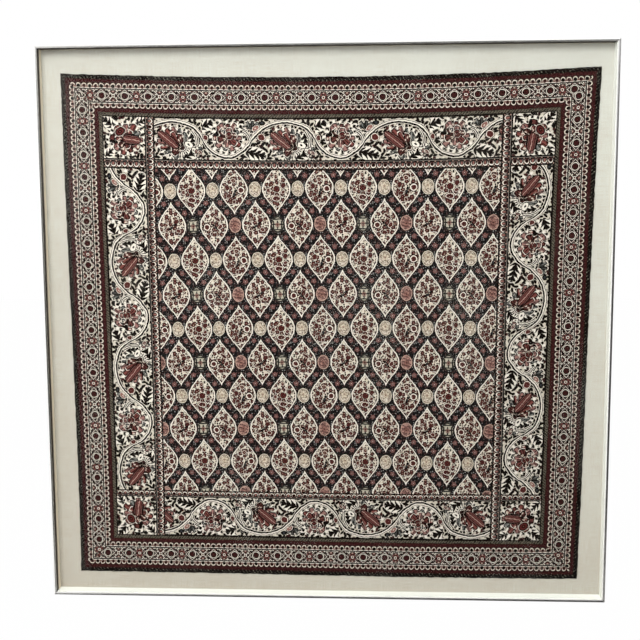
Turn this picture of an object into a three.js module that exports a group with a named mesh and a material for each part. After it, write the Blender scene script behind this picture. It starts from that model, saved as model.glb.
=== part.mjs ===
// A painted silk panel, float-mounted on a linen-covered board in a slim glazed box frame.
// Millimetres, +Z up, +X to the viewer's right. The origin is the middle of the frame's flat
// back, where it meets the wall, and the cloth looks towards -Y.
import * as THREE from "three";

// The frame's outer size
const frameWidth = 1040;
const frameHeight = 1025;
const frameDepth = 38;

// The aluminium rail: a side wall with a front lip that covers the edge of the glass. The
// lip's face is a shallow arch that falls away to both of its edges.
const lipWidth = 5;
const lipThickness = 2;
const archHeight = 0.9;
const archSegments = 8;
const wallThickness = 1.5;
const mitreGap = 0.2;

// What lies behind the lip, front to back, each a little clear of the next. The spacers take
// up the depth that the rest leaves.
const fitGap = 0.3;
const glassThickness = 2;
const mountThickness = 6.5;
const backingThickness = 4;

// The cloth: the size it was cut to, its thickness, and the grid it is modelled on
const clothWidth = 960;
const clothHeight = 940;
const clothThickness = 1;
const clothColumns = 34;
const clothRows = 33;

// How the old cloth has drawn out of square. Each row moves a point of the flat cloth, whose
// place is given as a share of its half width (u) and half height (v), by
// amount * u^uPower * v^vPower.
const sidewaysPull = [
  { uPower: 0, vPower: 0, amount: 3.1 },
  { uPower: 1, vPower: 0, amount: -1.0 },
  { uPower: 0, vPower: 1, amount: 0.8 },
  { uPower: 1, vPower: 1, amount: 7.0 },
  { uPower: 1, vPower: 2, amount: 1.3 },
  { uPower: 0, vPower: 3, amount: 2.9 },
];
const upwardPull = [
  { uPower: 0, vPower: 0, amount: -11.2 },
  { uPower: 1, vPower: 0, amount: -1.7 },
  { uPower: 0, vPower: 1, amount: -3.9 },
  { uPower: 1, vPower: 1, amount: 1.3 },
  { uPower: 2, vPower: 0, amount: 6.9 },
  { uPower: 3, vPower: 0, amount: 1.6 },
  { uPower: 2, vPower: 1, amount: 5.3 },
];

// The soft lifts of the cloth off its board: long waves across and down it, each with its
// number of waves over the cloth's half width and half height, its start and its height
const softWaves = [
  { across: 1.1, down: 0.3, start: 0.4, height: 0.30 },
  { across: 0.4, down: 1.4, start: 2.1, height: 0.25 },
  { across: 2.3, down: -0.6, start: 4.0, height: 0.18 },
];
const edgeLift = 0.7;
const edgeLiftPower = 8;

const frontY = -frameDepth;
const glassFrontY = frontY + lipThickness + fitGap;
const spacerFrontY = glassFrontY + glassThickness + fitGap;
const backingFrontY = -backingThickness;
const mountFrontY = backingFrontY - fitGap - mountThickness;
const spacerDepth = mountFrontY - fitGap - spacerFrontY;
const spacerThickness = lipWidth - wallThickness - fitGap;

const finishes = {
  aluminium: { color: 0xc9c9c4, roughness: 0.35, metalness: 0.9 },
  glass: { color: 0xe9efec, roughness: 0.05, metalness: 0, transparent: true, opacity: 0.2 },
  spacer: { color: 0xe6e4d8, roughness: 0.7, metalness: 0 },
  linen: { color: 0xd8d2c2, roughness: 0.95, metalness: 0 },
  board: { color: 0x8a6f52, roughness: 0.85, metalness: 0 },
  silk: { color: 0x8a7468, roughness: 0.8, metalness: 0 },
};

const group = new THREE.Group();

function addPiece(name, geometry, finish) {
  const mesh = new THREE.Mesh(geometry, new THREE.MeshStandardMaterial(finishes[finish]));
  mesh.name = name;
  group.add(mesh);
  return mesh;
}

// A flat board or strip, given by its size, its middle in the frame and its front face
function addSlab(name, finish, width, height, thickness, slabFrontY, centreX = 0, centreZ = 0) {
  const slab = addPiece(name, new THREE.BoxGeometry(width, thickness, height), finish);
  slab.position.set(centreX, slabFrontY + thickness / 2, centreZ);
}

// The rail's section: x runs inwards from the frame's outer edge, y back from its front
function railSection() {
  const halfLip = lipWidth / 2;
  const archRadius = (halfLip ** 2 + archHeight ** 2) / (2 * archHeight);
  const halfAngle = Math.asin(halfLip / archRadius);
  const section = new THREE.Shape();
  section.moveTo(0, archHeight);
  section.absarc(halfLip, archRadius, archRadius, -Math.PI / 2 - halfAngle,
    -Math.PI / 2 + halfAngle, false);
  section.lineTo(lipWidth, lipThickness);
  section.lineTo(wallThickness, lipThickness);
  section.lineTo(wallThickness, frameDepth);
  section.lineTo(0, frameDepth);
  return section;
}

// One rail along Z, its outer edge at x = 0 and its ends cut back at 45 degrees
function railGeometry(length) {
  const geometry = new THREE.ExtrudeGeometry(railSection(), {
    depth: length,
    bevelEnabled: false,
    curveSegments: archSegments,
  });
  geometry.translate(0, 0, -length / 2);
  const place = geometry.attributes.position;
  for (let i = 0; i < place.count; i += 1) {
    const inwards = place.getX(i);
    const end = Math.sign(place.getZ(i));
    place.setZ(i, end * (length / 2 - inwards - mitreGap));
  }
  geometry.translate(0, frontY, 0);
  return geometry;
}

// The four rails are one section, turned a quarter about Y from side to side
function addRails() {
  const rails = [
    { name: "rail_left", length: frameHeight, quarterTurns: 0, reach: frameWidth / 2 },
    { name: "rail_top", length: frameWidth, quarterTurns: 1, reach: frameHeight / 2 },
    { name: "rail_right", length: frameHeight, quarterTurns: 2, reach: frameWidth / 2 },
    { name: "rail_bottom", length: frameWidth, quarterTurns: 3, reach: frameHeight / 2 },
  ];
  for (const { name, length, quarterTurns, reach } of rails) {
    const geometry = railGeometry(length);
    geometry.translate(-reach, 0, 0);
    geometry.rotateY((quarterTurns * Math.PI) / 2);
    addPiece(name, geometry, "aluminium");
  }
}

// The pane and the two boards fill the frame between its side walls
function addPaneAndBoards() {
  const width = frameWidth - 2 * (wallThickness + fitGap);
  const height = frameHeight - 2 * (wallThickness + fitGap);
  addSlab("glazing", "glass", width, height, glassThickness, glassFrontY);
  addSlab("linen_mount", "linen", width, height, mountThickness, mountFrontY);
  addSlab("backing_board", "board", width, height, backingThickness, backingFrontY);
}

// The spacers stand between glass and board: two full-length uprights, two strips between them
function addSpacers() {
  const outerX = frameWidth / 2 - wallThickness - fitGap;
  const outerZ = frameHeight / 2 - wallThickness - fitGap;
  const uprightX = outerX - spacerThickness / 2;
  const stripZ = outerZ - spacerThickness / 2;
  const stripLength = 2 * (outerX - spacerThickness - fitGap);
  for (const [side, sign] of [["left", -1], ["right", 1]]) {
    addSlab(`spacer_${side}`, "spacer", spacerThickness, 2 * outerZ, spacerDepth, spacerFrontY,
      sign * uprightX, 0);
  }
  for (const [side, sign] of [["bottom", -1], ["top", 1]]) {
    addSlab(`spacer_${side}`, "spacer", stripLength, spacerThickness, spacerDepth, spacerFrontY,
      0, sign * stripZ);
  }
}

function pulled(terms, u, v) {
  return terms.reduce((sum, term) => sum + term.amount * u ** term.uPower * v ** term.vPower, 0);
}

// How far the back of the cloth stands off the board at a point of the cloth
function clothLift(u, v) {
  let lift = fitGap;
  for (const { across, down, start, height } of softWaves) {
    lift += height * (1 + Math.sin(Math.PI * (across * u + down * v) + start));
  }
  return lift + edgeLift * Math.max(Math.abs(u), Math.abs(v)) ** edgeLiftPower;
}

// The sheet: a grid of points on its face, the same grid on its back, and its four raw edges
function clothGeometry() {
  const points = [];
  const across = clothColumns + 1;
  for (const thickness of [clothThickness, 0]) {
    for (let row = 0; row <= clothRows; row += 1) {
      for (let column = 0; column < across; column += 1) {
        const u = (2 * column) / clothColumns - 1;
        const v = (2 * row) / clothRows - 1;
        const x = (u * clothWidth) / 2 + pulled(sidewaysPull, u, v);
        const z = (v * clothHeight) / 2 + pulled(upwardPull, u, v);
        points.push(x, mountFrontY - clothLift(u, v) - thickness, z);
      }
    }
  }
  const backStart = across * (clothRows + 1);
  const at = (row, column, side) => side * backStart + row * across + column;
  const triangles = [];
  const addQuad = (a, b, c, d) => triangles.push(a, b, c, a, c, d);
  for (let row = 0; row < clothRows; row += 1) {
    for (let column = 0; column < clothColumns; column += 1) {
      addQuad(at(row, column, 0), at(row, column + 1, 0), at(row + 1, column + 1, 0),
        at(row + 1, column, 0));
      addQuad(at(row, column, 1), at(row + 1, column, 1), at(row + 1, column + 1, 1),
        at(row, column + 1, 1));
    }
  }
  for (let column = 0; column < clothColumns; column += 1) {
    addQuad(at(0, column, 0), at(0, column, 1), at(0, column + 1, 1), at(0, column + 1, 0));
    addQuad(at(clothRows, column + 1, 0), at(clothRows, column + 1, 1),
      at(clothRows, column, 1), at(clothRows, column, 0));
  }
  for (let row = 0; row < clothRows; row += 1) {
    addQuad(at(row + 1, 0, 0), at(row + 1, 0, 1), at(row, 0, 1), at(row, 0, 0));
    addQuad(at(row, clothColumns, 0), at(row, clothColumns, 1),
      at(row + 1, clothColumns, 1), at(row + 1, clothColumns, 0));
  }
  const geometry = new THREE.BufferGeometry();
  geometry.setAttribute("position", new THREE.Float32BufferAttribute(points, 3));
  geometry.setIndex(triangles);
  return geometry;
}

addRails();
addPaneAndBoards();
addSpacers();
addPiece("silk_panel", clothGeometry(), "silk");

export default group;
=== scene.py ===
import math
import random

import bmesh
import bpy
from mathutils import Matrix, Vector


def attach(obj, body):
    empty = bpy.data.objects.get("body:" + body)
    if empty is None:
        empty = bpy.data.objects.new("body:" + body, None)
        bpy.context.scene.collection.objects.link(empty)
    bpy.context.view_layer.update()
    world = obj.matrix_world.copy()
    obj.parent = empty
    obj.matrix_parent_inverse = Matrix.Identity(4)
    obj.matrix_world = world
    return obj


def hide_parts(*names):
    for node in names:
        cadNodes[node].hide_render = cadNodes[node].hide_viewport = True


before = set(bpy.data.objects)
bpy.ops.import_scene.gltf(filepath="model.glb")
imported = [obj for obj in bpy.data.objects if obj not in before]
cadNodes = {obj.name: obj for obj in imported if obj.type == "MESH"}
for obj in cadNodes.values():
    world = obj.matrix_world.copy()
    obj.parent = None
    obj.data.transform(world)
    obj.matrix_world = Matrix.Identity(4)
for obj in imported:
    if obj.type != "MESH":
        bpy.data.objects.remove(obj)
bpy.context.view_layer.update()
print("frame loaded:", len(cadNodes), "nodes")


# small helpers for writing a pattern as plain sums

class Wire:
    # one output of a node; sums on it add Math nodes
    def __init__(self, tree, socket):
        self.tree, self.socket = tree, socket

    def __add__(self, other):
        return maths("ADD", self, other)

    def __radd__(self, other):
        return maths("ADD", self, other)

    def __sub__(self, other):
        return maths("SUBTRACT", self, other)

    def __rsub__(self, other):
        return maths("SUBTRACT", other, self)

    def __mul__(self, other):
        return maths("MULTIPLY", self, other)

    def __rmul__(self, other):
        return maths("MULTIPLY", self, other)

    def __abs__(self):
        return maths("ABSOLUTE", self)


def addNode(tree, kind, **settings):
    made = tree.nodes.new("ShaderNode" + kind)
    for name, value in settings.items():
        setattr(made, name, value)
    return made


def feed(tree, socket, value):
    if isinstance(value, Wire):
        tree.links.new(value.socket, socket)
    elif value is not None:
        socket.default_value = value


def treeOf(*values):
    return next(v.tree for v in values if isinstance(v, Wire))


def maths(operation, *values, clamp=False):
    tree = treeOf(*values)
    made = addNode(tree, "Math", operation=operation, use_clamp=clamp)
    for socket, value in zip(made.inputs, values):
        feed(tree, socket, value)
    return Wire(tree, made.outputs[0])


def vectors(operation, *values):
    tree = treeOf(*values)
    made = addNode(tree, "VectorMath", operation=operation)
    for socket, value in zip(made.inputs, values):
        feed(tree, socket, value)
    single = operation in ("LENGTH", "DISTANCE", "DOT_PRODUCT")
    return Wire(tree, made.outputs["Value" if single else "Vector"])


def scaled(value, factor, offset, clamp=False):
    return maths("MULTIPLY_ADD", value, factor, offset, clamp=clamp)


def inside(distance, reach, soft=0.6):
    # 1 where distance is less than reach, with a soft edge
    return scaled(distance, -1 / soft, reach / soft + 0.5, clamp=True)


def most(*values):
    found = values[0]
    for value in values[1:]:
        found = maths("MAXIMUM", found, value)
    return found


def least(*values):
    found = values[0]
    for value in values[1:]:
        found = maths("MINIMUM", found, value)
    return found


def wrapped(value, half):
    return maths("WRAP", value, half, -half)


def parts(vector):
    made = addNode(vector.tree, "SeparateXYZ")
    feed(vector.tree, made.inputs[0], vector)
    return Wire(vector.tree, made.outputs[0]), Wire(vector.tree, made.outputs[1])


def joined(x, y):
    tree = treeOf(x, y)
    made = addNode(tree, "CombineXYZ")
    for socket, value in zip(made.inputs, (x, y)):
        feed(tree, socket, value)
    return Wire(tree, made.outputs[0])


def turned(place, centre=(0, 0), turn=0, size=(1, 1)):
    # the place as seen from a motif at centre, turned by turn degrees, in units of its size
    made = addNode(place.tree, "Mapping", vector_type="TEXTURE")
    feed(place.tree, made.inputs[0], place)
    made.inputs["Location"].default_value = (centre[0], centre[1], 0)
    made.inputs["Rotation"].default_value = (0, 0, math.radians(turn))
    made.inputs["Scale"].default_value = (size[0], size[1], 1)
    return Wire(place.tree, made.outputs[0])


def choose(mask, low, high, kind="RGBA"):
    tree = treeOf(mask, low, high)
    made = addNode(tree, "Mix", data_type=kind)
    first = {"FLOAT": 2, "VECTOR": 4, "RGBA": 6}[kind]
    feed(tree, made.inputs[0], mask)
    feed(tree, made.inputs[first], low)
    feed(tree, made.inputs[first + 1], high)
    return Wire(tree, made.outputs[{"FLOAT": 0, "VECTOR": 1, "RGBA": 2}[kind]])


def ramp(value, rows):
    # rows: a colour, where it starts and, for a flat band, where it ends; gives the colour and its cover
    stops = [(at, row[0]) for row in rows for at in row[1:]]
    made = addNode(value.tree, "ValToRGB")
    elements = made.color_ramp.elements
    while len(elements) < len(stops):
        elements.new(0.5)
    for element, (at, _) in zip(elements, stops):
        element.position = at
    for element, (_, colour) in zip(elements, stops):
        element.color = colour
    feed(value.tree, made.inputs[0], value)
    return Wire(value.tree, made.outputs["Color"]), Wire(value.tree, made.outputs["Alpha"])


def curve(value, points):
    made = addNode(value.tree, "FloatCurve")
    line = made.mapping.curves[0]
    line.points[0].location, line.points[1].location = points[0], points[-1]
    for point in points[1:-1]:
        line.points.new(*point)
    made.mapping.update()
    feed(value.tree, made.inputs["Value"], value)
    return Wire(value.tree, made.outputs[0])


def cloud(place, scale, detail=2, output="Fac", flat=True, rough=0.5):
    made = addNode(place.tree, "TexNoise", noise_dimensions="2D" if flat else "3D")
    feed(place.tree, made.inputs["Vector"], place)
    made.inputs["Scale"].default_value = scale
    made.inputs["Detail"].default_value = detail
    made.inputs["Roughness"].default_value = rough
    return Wire(place.tree, made.outputs[output])


def cells(place, scale, loose=1.0, flat=True):
    made = addNode(place.tree, "TexVoronoi", voronoi_dimensions="2D" if flat else "3D")
    feed(place.tree, made.inputs["Vector"], place)
    made.inputs["Scale"].default_value = scale
    made.inputs["Randomness"].default_value = loose
    return {o.name: Wire(place.tree, o) for o in made.outputs if o.enabled}


def chance(place):
    made = addNode(place.tree, "TexWhiteNoise", noise_dimensions="2D")
    feed(place.tree, made.inputs["Vector"], place)
    return Wire(place.tree, made.outputs["Value"])


def ink(red, green, blue):
    # a colour as it looks on a screen, 0 to 255, as the shader wants it
    linear = [c / 255 / 12.92 if c <= 10 else ((c / 255 + 0.055) / 1.055) ** 2.4 for c in (red, green, blue)]
    return (*linear, 1.0)


def faint(colour, cover=0.0):
    return (*colour[:3], cover)


def newMaterial(name):
    material = bpy.data.materials.new(name)
    material.use_nodes = True
    material.node_tree.nodes.clear()
    return material, material.node_tree


def surface(tree, shader):
    out = addNode(tree, "OutputMaterial")
    tree.links.new(shader, out.inputs["Surface"])


def bumped(height, strength, distance):
    made = addNode(height.tree, "Bump")
    made.inputs["Strength"].default_value = strength
    made.inputs["Distance"].default_value = distance
    feed(height.tree, made.inputs["Height"], height)
    return Wire(height.tree, made.outputs[0])


def principled(tree, colour, roughness, normal=None, **fixed):
    made = addNode(tree, "BsdfPrincipled")
    feed(tree, made.inputs["Base Color"], colour)
    feed(tree, made.inputs["Roughness"], roughness)
    feed(tree, made.inputs["Normal"], normal)
    for name, value in fixed.items():
        made.inputs[name].default_value = value
    surface(tree, made.outputs[0])


def flatPlace(tree):
    # object coordinates in millimetres, then x and z alone, and those two as a flat pattern
    place = objectPlace(tree)
    across, _ = parts(place)
    up = vectors("DOT_PRODUCT", place, (0, 0, 1))
    return place, across, up, joined(across, up)


def plainWeave(across, up, threadPitch):
    turn = math.pi / threadPitch
    return maths("SINE", across * turn) * maths("SINE", up * turn)


def slub(flat, stretch, detail):
    # the unevenness of thread: noise drawn out along one way
    return cloud(vectors("MULTIPLY", flat, (*stretch, 0)), 1.0, detail)


def painted(colour, distance, reach, dye, soft=0.6):
    # the dye over the colour, where distance is less than reach
    return choose(inside(distance, reach, soft), colour, dye)


def objectPlace(tree):
    # object coordinates, in millimetres
    coordinates = addNode(tree, "TexCoord")
    made = addNode(tree, "VectorMath", operation="SCALE")
    tree.links.new(coordinates.outputs["Object"], made.inputs[0])
    made.inputs["Scale"].default_value = 1000
    return Wire(tree, made.outputs[0])


# camera, studio and lights

view = {"place": (0.0889, -1.9041, 0.2466), "lens": 58.02, "turn": 2.972, "tilt": -7.004, "roll": 0.306}

studio = {
    "floorHeight": -1.8, "floorColour": (0.9, 0.9, 0.89),
    "ambient": 0.66,
    "keyPlace": (-0.6, -3.0, 1.4), "keySize": 2.0, "keyPower": 170,
    "topPlace": (0.3, -1.2, 2.6), "topSize": 1.2, "topPower": 18,
    # half size, place and aim
    "flags": {"flag": (2.65, (1.35, -3.0, -1.85), (1.35, 0, -1.85)),
              "flagRight": (1.3, (2.4, -1.5, -0.3), (0, -0.6, -0.3)),
              "flagLow": (1.5, (0.1, -0.9, -1.75), (0.1, -0.9, 0))},
    "shines": {"shineTop": (1.8, (0, -2.2, 3.4), (0, 0, 0.5)),
               "shineLeft": (1.8, (-3.4, -2.2, 0), (-0.5, 0, 0))},
    "shine": 1.35,
}


def makeCamera():
    camera = bpy.data.objects.new("camera", bpy.data.cameras.new("camera"))
    bpy.context.scene.collection.objects.link(camera)
    camera.data.lens, camera.data.sensor_width = view["lens"], 36
    camera.data.clip_end = 60
    spin = (Matrix.Rotation(math.radians(view["turn"]), 4, "Z")
            @ Matrix.Rotation(math.radians(view["tilt"]), 4, "X")
            @ Matrix.Rotation(math.radians(view["roll"]), 4, "Y")
            @ Matrix.Rotation(math.radians(90), 4, "X"))
    camera.matrix_world = Matrix.Translation(view["place"]) @ spin
    bpy.context.scene.camera = camera


def makeCard(name, halfSize, place, aim, material):
    # a flat stage card that faces aim
    bm = bmesh.new()
    bmesh.ops.create_grid(bm, x_segments=2, y_segments=2, size=halfSize)
    turn = (Vector(aim) - Vector(place)).to_track_quat("Z", "Y").to_matrix().to_4x4()
    bmesh.ops.transform(bm, matrix=Matrix.Translation(place) @ turn, verts=bm.verts)
    mesh = bpy.data.meshes.new(name)
    bm.to_mesh(mesh)
    bm.free()
    mesh.materials.append(material)
    card = bpy.data.objects.new(name, mesh)
    bpy.context.scene.collection.objects.link(card)
    return card


def makeLamp(name, place, size, power, aim):
    lamp = bpy.data.objects.new(name, bpy.data.lights.new(name, "AREA"))
    lamp.data.shape, lamp.data.size, lamp.data.energy = "DISK", size, power
    lamp.location = place
    lamp.rotation_euler = (Vector(aim) - Vector(place)).to_track_quat("-Z", "Y").to_euler()
    bpy.context.scene.collection.objects.link(lamp)
    lamp.visible_glossy = False


def blendShaders(tree, share, first, second):
    made = addNode(tree, "MixShader")
    feed(tree, made.inputs[0], share)
    tree.links.new(first, made.inputs[1])
    tree.links.new(second, made.inputs[2])
    return made.outputs[0]


def makeStudio():
    scene = bpy.context.scene
    scene.view_settings.view_transform = "Standard"
    scene.world = bpy.data.worlds.new("studio")
    scene.world.use_nodes = True
    tree = scene.world.node_tree
    tree.nodes.clear()
    path = addNode(tree, "LightPath")
    seen = most(*[Wire(tree, path.outputs[name])
                  for name in ("Is Camera Ray", "Is Glossy Ray", "Is Transmission Ray")])
    soft, white = addNode(tree, "Background"), addNode(tree, "Background")
    soft.inputs["Strength"].default_value = studio["ambient"]
    soft.inputs["Color"].default_value = (1, 0.985, 0.96, 1)
    white.inputs["Color"].default_value = (1, 1, 1, 1)
    out = addNode(tree, "OutputWorld")
    tree.links.new(blendShaders(tree, seen, soft.outputs[0], white.outputs[0]), out.inputs["Surface"])

    floorMaterial, tree = newMaterial("paleFloor")
    path = addNode(tree, "LightPath")
    plain, glow = addNode(tree, "BsdfDiffuse"), addNode(tree, "Emission")
    plain.inputs["Color"].default_value = (*studio["floorColour"], 1)
    glow.inputs["Color"].default_value = (1, 1, 1, 1)
    surface(tree, blendShaders(tree, Wire(tree, path.outputs["Is Camera Ray"]) * 0.985,
                               plain.outputs[0], glow.outputs[0]))
    height = studio["floorHeight"]
    makeCard("floor", 14, (0, 4, height), (0, 4, height + 1), floorMaterial)

    # studio cards that only reflections see: dark ones in front, at the right and low down, the front one
    # paler towards its upper left, and bright ones above and at the left for the frame's left and top
    flagMaterial, tree = newMaterial("studioFlag")
    slope = vectors("DOT_PRODUCT", objectPlace(tree), (-0.0004, 0, 0.0007))
    glowColour, _ = ramp(slope * 0.3 + 0.55, (
        (ink(20, 19, 18), 0.05), (ink(48, 47, 46), 0.45), (ink(96, 96, 97), 0.66),
        (ink(150, 152, 155), 0.78), (ink(200, 202, 205), 0.88)))
    glow = addNode(tree, "Emission")
    feed(tree, glow.inputs["Color"], glowColour)
    surface(tree, glow.outputs[0])
    shineMaterial, tree = newMaterial("studioShine")
    glow = addNode(tree, "Emission")
    glow.inputs["Strength"].default_value = studio["shine"]
    surface(tree, glow.outputs[0])
    for cards, material in ((studio["flags"], flagMaterial), (studio["shines"], shineMaterial)):
        for name, (halfSize, place, aim) in cards.items():
            card = makeCard(name, halfSize, place, aim, material)
            card.visible_camera = card.visible_diffuse = card.visible_shadow = False
            card.visible_transmission = card.visible_volume_scatter = False

    makeLamp("key", studio["keyPlace"], studio["keySize"], studio["keyPower"], (0, 0, 0))
    makeLamp("top", studio["topPlace"], studio["topSize"], studio["topPower"], (0, 0, 0))
    print("studio ready")


makeCamera()
makeStudio()


# the frame: aluminium rails, glass, spacers, linen and board

rails = {
    "silver": ink(250, 250, 248), "dull": ink(232, 230, 226),
    "grainAcross": 2.2, "grainAlong": 0.012,  # brushing, in lines per mm
    "roughness": 0.24,
}


def railMaterial(name, along):
    # brushed satin aluminium, with the brushing along the rail
    material, tree = newMaterial(name)
    place = objectPlace(tree)
    fine = {axis: rails["grainAcross"] for axis in "xyz"}
    fine[along] = rails["grainAlong"]
    grainPlace = vectors("MULTIPLY", place, (fine["x"], fine["y"], fine["z"]))
    grain = cloud(grainPlace, 1.0, 3, flat=False, rough=0.6)
    smear = cloud(place, 0.011, 3, flat=False)
    nicks = inside(cells(place, 0.045, flat=False)["Distance"], 0.05, 0.02)
    nickSpots = nicks * inside(cloud(place, 0.02, 1, flat=False), 0.44, 0.02)
    tone = scaled(grain, 0.5, -0.25, clamp=False) + smear
    colour = choose(maths("ADD", tone, 0.0, clamp=True), rails["dull"], rails["silver"])
    colour = choose(nickSpots * 0.5, colour, ink(120, 117, 112))
    roughness = scaled(grain, 0.16, rails["roughness"] - 0.08) + smear * 0.08
    principled(tree, colour, roughness, bumped(grain + smear * 0.3, 0.16, 0.00006),
               Metallic=1.0)
    return material


linen = {"pale": ink(173, 173, 166), "shade": ink(153, 145, 133), "threadPitch": 0.72}


def linenMaterial():
    # plain-woven linen stretched over the mount board
    material, tree = newMaterial("linenCloth")
    place, across, up, flat = flatPlace(tree)
    slubs = slub(flat, (0.035, 1.3), 3) + slub(flat, (1.3, 0.035), 3)
    weave = plainWeave(across, up, linen["threadPitch"])
    patch = cloud(flat, 0.008, 3)
    # uneven patches, and painted shade: darker towards the bottom and a little towards the left
    patchesAndShade = scaled(patch, 0.4, 0.25) + vectors("DOT_PRODUCT", place, (-0.0002, 0, -0.0005))
    tone = scaled(slubs, 0.9, -0.9) + patchesAndShade + weave * 0.10
    colour = choose(maths("ADD", tone, 0.05, clamp=True), linen["pale"], linen["shade"])
    flecks = inside(cells(vectors("MULTIPLY", flat, (0.05, 0.4, 0)), 1.0)["Distance"], 0.06, 0.05)
    colour = choose(flecks * 0.35, colour, ink(176, 160, 132))
    height = weave + scaled(slubs, 1.5, -1.5)
    principled(tree, colour, 0.9, bumped(height, 0.5, 0.00018), **{
        "Sheen Weight": 0.15, "Specular IOR Level": 0.2})
    return material


def boardMaterial():
    # hardboard back: pressed wood fibre with a brown paper skin
    material, tree = newMaterial("fibreBoard")
    place = objectPlace(tree)
    fibre = cloud(vectors("MULTIPLY", place, (0.25, 0.25, 1.4)), 1.0, 5, flat=False, rough=0.7)
    crossFibre = cloud(vectors("MULTIPLY", place, (1.4, 0.25, 0.25)), 1.0, 5, flat=False, rough=0.7)
    patch = cloud(place, 0.006, 4, flat=False)
    colour, _ = ramp(scaled(fibre + crossFibre, 0.7, -0.2) + patch * 0.3, (
        (ink(96, 70, 47), 0.2), (ink(136, 103, 72), 0.5), (ink(164, 131, 98), 0.8)))
    specks = inside(cells(place, 0.12, flat=False)["Distance"], 0.07, 0.04)
    colour = choose(specks * 0.4, colour, ink(70, 52, 38))
    principled(tree, colour, scaled(fibre, 0.15, 0.75), bumped(fibre + crossFibre, 0.35, 0.0003),
               **{"Specular IOR Level": 0.25})
    return material


# fillet colours: the first two are near-white, painted light for the right and bottom fillets; the tan and
# dark ones are painted shade and painted shadow for the left and top fillets
fillets = {
    "pale": ink(243, 244, 239), "shade": ink(232, 233, 225),
    "shadedTan": ink(226, 215, 196), "dark": ink(44, 34, 25),
    "leftShadowTo": -24.0, "topShadowTo": -14.0,  # mm, how far in from the glass the dark strip of painted shadow reaches
}


def spacerMaterial(name, shadowTo):
    # wooden fillets in paint, between glass and mount; those at the left and top are tan for painted shade,
    # with a dark strip of painted shadow near the glass, and those at the right and bottom are near-white for
    # painted light
    material, tree = newMaterial(name)
    place = objectPlace(tree)
    brushed = cloud(vectors("MULTIPLY", place, (0.03, 1.2, 0.03)), 1.0, 4, flat=False, rough=0.6)
    patch = cloud(place, 0.02, 3, flat=False)
    tone = maths("ADD", scaled(brushed, 0.6, -0.1), patch * 0.3, clamp=True)
    if shadowTo:
        # left and top: tan as painted shade, and a dark strip near the glass as painted shadow
        colour = choose(tone, fillets["shadedTan"], ink(222, 210, 184))
        depth = vectors("DOT_PRODUCT", place, (0, 1, 0))
        shadowStrip = inside(depth + scaled(patch, 2.0, -1.0), shadowTo, 3.0)
        colour = choose(shadowStrip, colour, fillets["dark"])
    else:
        # right and bottom: near-white as painted light
        colour = choose(tone, fillets["pale"], fillets["shade"])
    scuffs = inside(cells(place, 0.09, flat=False)["Distance"], 0.06, 0.05)
    colour = choose(scuffs * 0.3, colour, ink(150, 138, 118))
    principled(tree, colour, scaled(brushed, 0.15, 0.6), bumped(brushed, 0.3, 0.0001),
               **{"Specular IOR Level": 0.3})
    return material


def glassMaterial():
    # thin picture glass: clear, with its own reflections and a little dust
    material, tree = newMaterial("pictureGlass")
    place = objectPlace(tree)
    ripple = cloud(place, 0.004, 2, flat=False)
    dust = inside(cells(place, 0.16, flat=False)["Distance"], 0.07, 0.03)
    dust = dust * scaled(cloud(place, 0.01, 3, flat=False), 4, -1.9, clamp=True)
    smear = scaled(cloud(vectors("MULTIPLY", place, (0.012, 0.012, 0.004)), 1.0, 4, flat=False), 3, -1.6,
                   clamp=True)
    clear, gloss = addNode(tree, "BsdfTransparent"), addNode(tree, "BsdfGlossy")
    clear.inputs["Color"].default_value = (0.985, 0.99, 0.985, 1)
    feed(tree, gloss.inputs["Roughness"], scaled(smear, 0.05, 0.015))
    feed(tree, gloss.inputs["Normal"], bumped(ripple, 0.02, 0.002))
    # a faint reflection straight on that grows at a slant, the same from inside the pane as from outside
    slant = Wire(tree, addNode(tree, "LayerWeight").outputs["Facing"])
    mirrored = scaled(maths("POWER", slant, 5.0), 0.99, 0.007)
    pane = blendShaders(tree, mirrored, clear.outputs[0], gloss.outputs[0])
    powder = addNode(tree, "BsdfDiffuse")
    powder.inputs["Color"].default_value = ink(214, 210, 200)
    surface(tree, blendShaders(tree, maths("MAXIMUM", dust * 0.5, smear * 0.02), pane, powder.outputs[0]))
    return material


def dressFrame():
    upright, level = railMaterial("brushedUpright", "z"), railMaterial("brushedLevel", "x")
    # the right and bottom fillets carry painted light, the left and top ones painted shade and painted shadow
    litFillet = spacerMaterial("litFillet", None)
    finishes = {
        "rail_left": upright, "rail_right": upright, "rail_top": level, "rail_bottom": level,
        "glazing": glassMaterial(), "linen_mount": linenMaterial(), "backing_board": boardMaterial(),
        "spacer_left": spacerMaterial("shadedLeftFillet", fillets["leftShadowTo"]),
        "spacer_top": spacerMaterial("shadedTopFillet", fillets["topShadowTo"]),
        "spacer_right": litFillet, "spacer_bottom": litFillet,
    }
    for name, material in finishes.items():
        mesh = cadNodes[name].data
        mesh.materials.clear()
        mesh.materials.append(material)
    print("frame dressed:", len(finishes), "nodes")


dressFrame()


# the print: natural dyes on an ivory ground, one material for each printed region
dyes = {
    "ivory": ink(234, 225, 213), "worn": ink(104, 96, 88),
    "black": ink(13, 7, 5), "charcoal": ink(17, 15, 15), "greyBlue": ink(62, 66, 70),
    "dusk": ink(44, 22, 22), "maroon": ink(58, 24, 24), "red": ink(92, 38, 34), "pink": ink(146, 92, 84),
}
ivory, black, charcoal, maroon = (dyes[n] for n in ("ivory", "black", "charcoal", "maroon"))
red, pink, greyBlue, dusk = (dyes[n] for n in ("red", "pink", "greyBlue", "dusk"))
# wander and threadPitch in mm: how far a printed outline strays, and one thread to the next
silk = {"wander": 2.2, "threadPitch": 0.6, "rough": 0.78, "sheen": 0.02, "shine": 0.04}

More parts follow.
